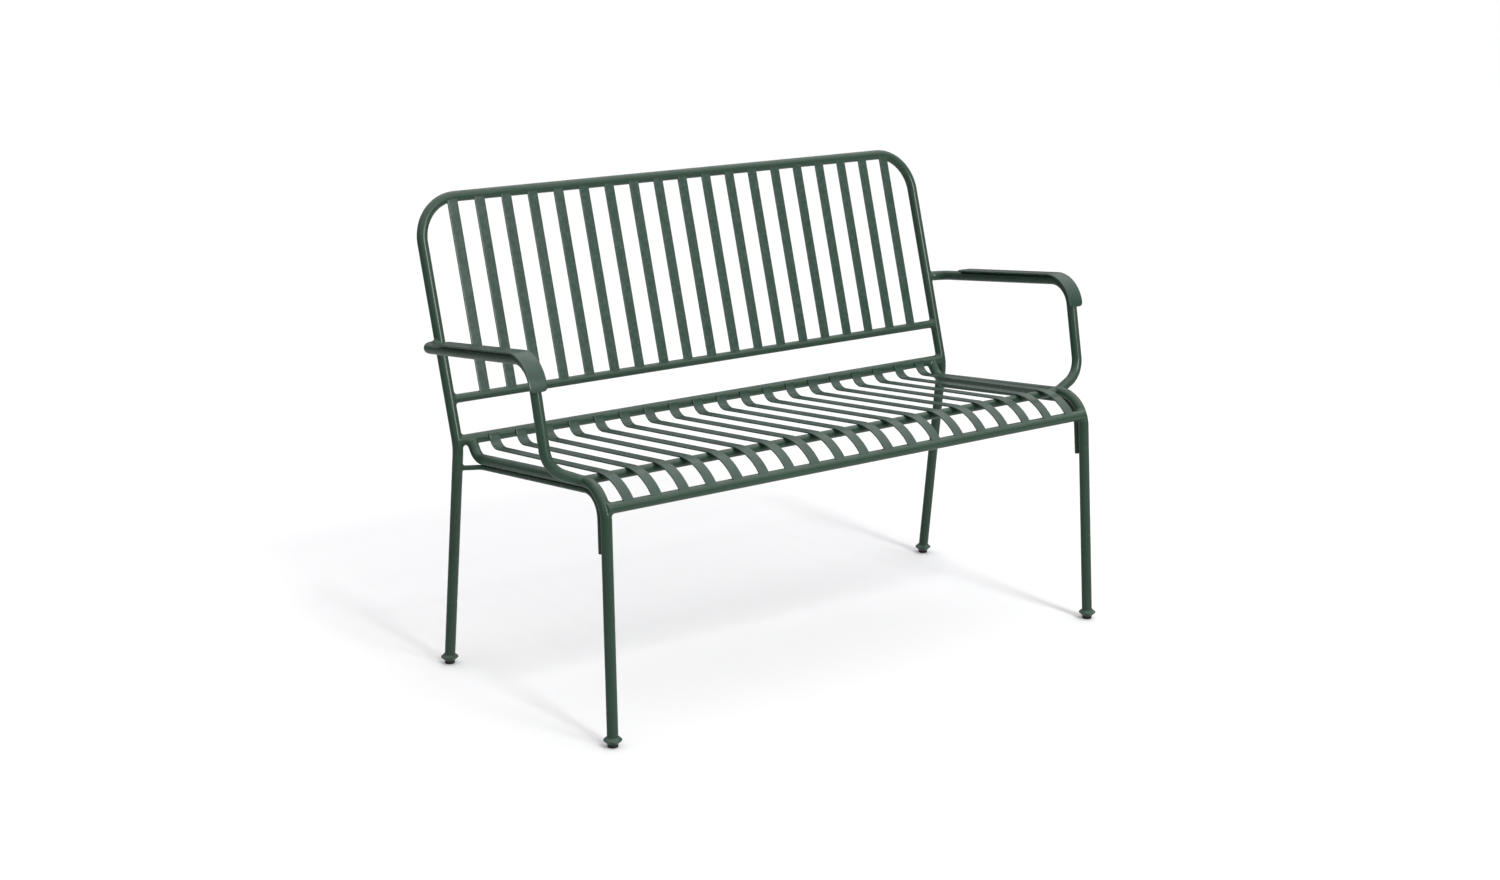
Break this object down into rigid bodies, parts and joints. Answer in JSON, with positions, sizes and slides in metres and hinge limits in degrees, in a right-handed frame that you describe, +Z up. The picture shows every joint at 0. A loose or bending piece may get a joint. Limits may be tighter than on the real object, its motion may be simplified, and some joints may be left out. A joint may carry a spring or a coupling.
{
  "type": "garden bench",
  "caption": "Welded steel garden bench with a back: bent round tube frame, flat curved seat slats, flat back slats, looped arms with flat pads, and collared feet.",
  "frame": {"origin": "on the floor, at the middle of the bench's length and depth", "axes": "+X along the bench's length, towards a viewer's right; -Y to the front of the seat; +Z up"},
  "size_m": [1.228, 0.6063, 0.8438],
  "materials": {
    "green_powder_coat": "satin dark grey-green powder coat with a fine orange-peel texture",
    "black_glide": "matte black moulded plastic"
  },
  "bodies": {
    "root": {"back_frame": "green_powder_coat", "back_lower_rail": "green_powder_coat", "seat_rear_rail": "green_powder_coat", "seat_front_rail": "green_powder_coat", "seat_support_tube": "green_powder_coat", "side_leg_left": "green_powder_coat", "arm_left": "green_powder_coat", "arm_pad_left": "green_powder_coat", "brace_left": "green_powder_coat", "side_leg_right": "green_powder_coat", "arm_right": "green_powder_coat", "arm_pad_right": "green_powder_coat", "brace_right": "green_powder_coat", "seat_slat_01": "green_powder_coat", "seat_slat_02": "green_powder_coat", "seat_slat_03": "green_powder_coat", "seat_slat_04": "green_powder_coat", "seat_slat_05": "green_powder_coat", "seat_slat_06": "green_powder_coat", "seat_slat_07": "green_powder_coat", "seat_slat_08": "green_powder_coat", "seat_slat_09": "green_powder_coat", "seat_slat_10": "green_powder_coat", "seat_slat_11": "green_powder_coat", "seat_slat_12": "green_powder_coat", "seat_slat_13": "green_powder_coat", "seat_slat_14": "green_powder_coat", "seat_slat_15": "green_powder_coat", "seat_slat_16": "green_powder_coat", "seat_slat_17": "green_powder_coat", "seat_slat_18": "green_powder_coat", "seat_slat_19": "green_powder_coat", "back_slat_01": "green_powder_coat", "back_slat_02": "green_powder_coat", "back_slat_03": "green_powder_coat", "back_slat_04": "green_powder_coat", "back_slat_05": "green_powder_coat", "back_slat_06": "green_powder_coat", "back_slat_07": "green_powder_coat", "back_slat_08": "green_powder_coat", "back_slat_09": "green_powder_coat", "back_slat_10": "green_powder_coat", "back_slat_11": "green_powder_coat", "back_slat_12": "green_powder_coat", "back_slat_13": "green_powder_coat", "back_slat_14": "green_powder_coat", "back_slat_15": "green_powder_coat", "back_slat_16": "green_powder_coat", "back_slat_17": "green_powder_coat", "back_slat_18": "green_powder_coat", "back_slat_19": "green_powder_coat", "collar_front_left": "green_powder_coat", "collar_front_right": "green_powder_coat", "collar_rear_left": "green_powder_coat", "collar_rear_right": "green_powder_coat", "glide_front_left": "black_glide", "glide_front_right": "black_glide", "glide_rear_left": "black_glide", "glide_rear_right": "black_glide"}
  },
  "joints": []
}
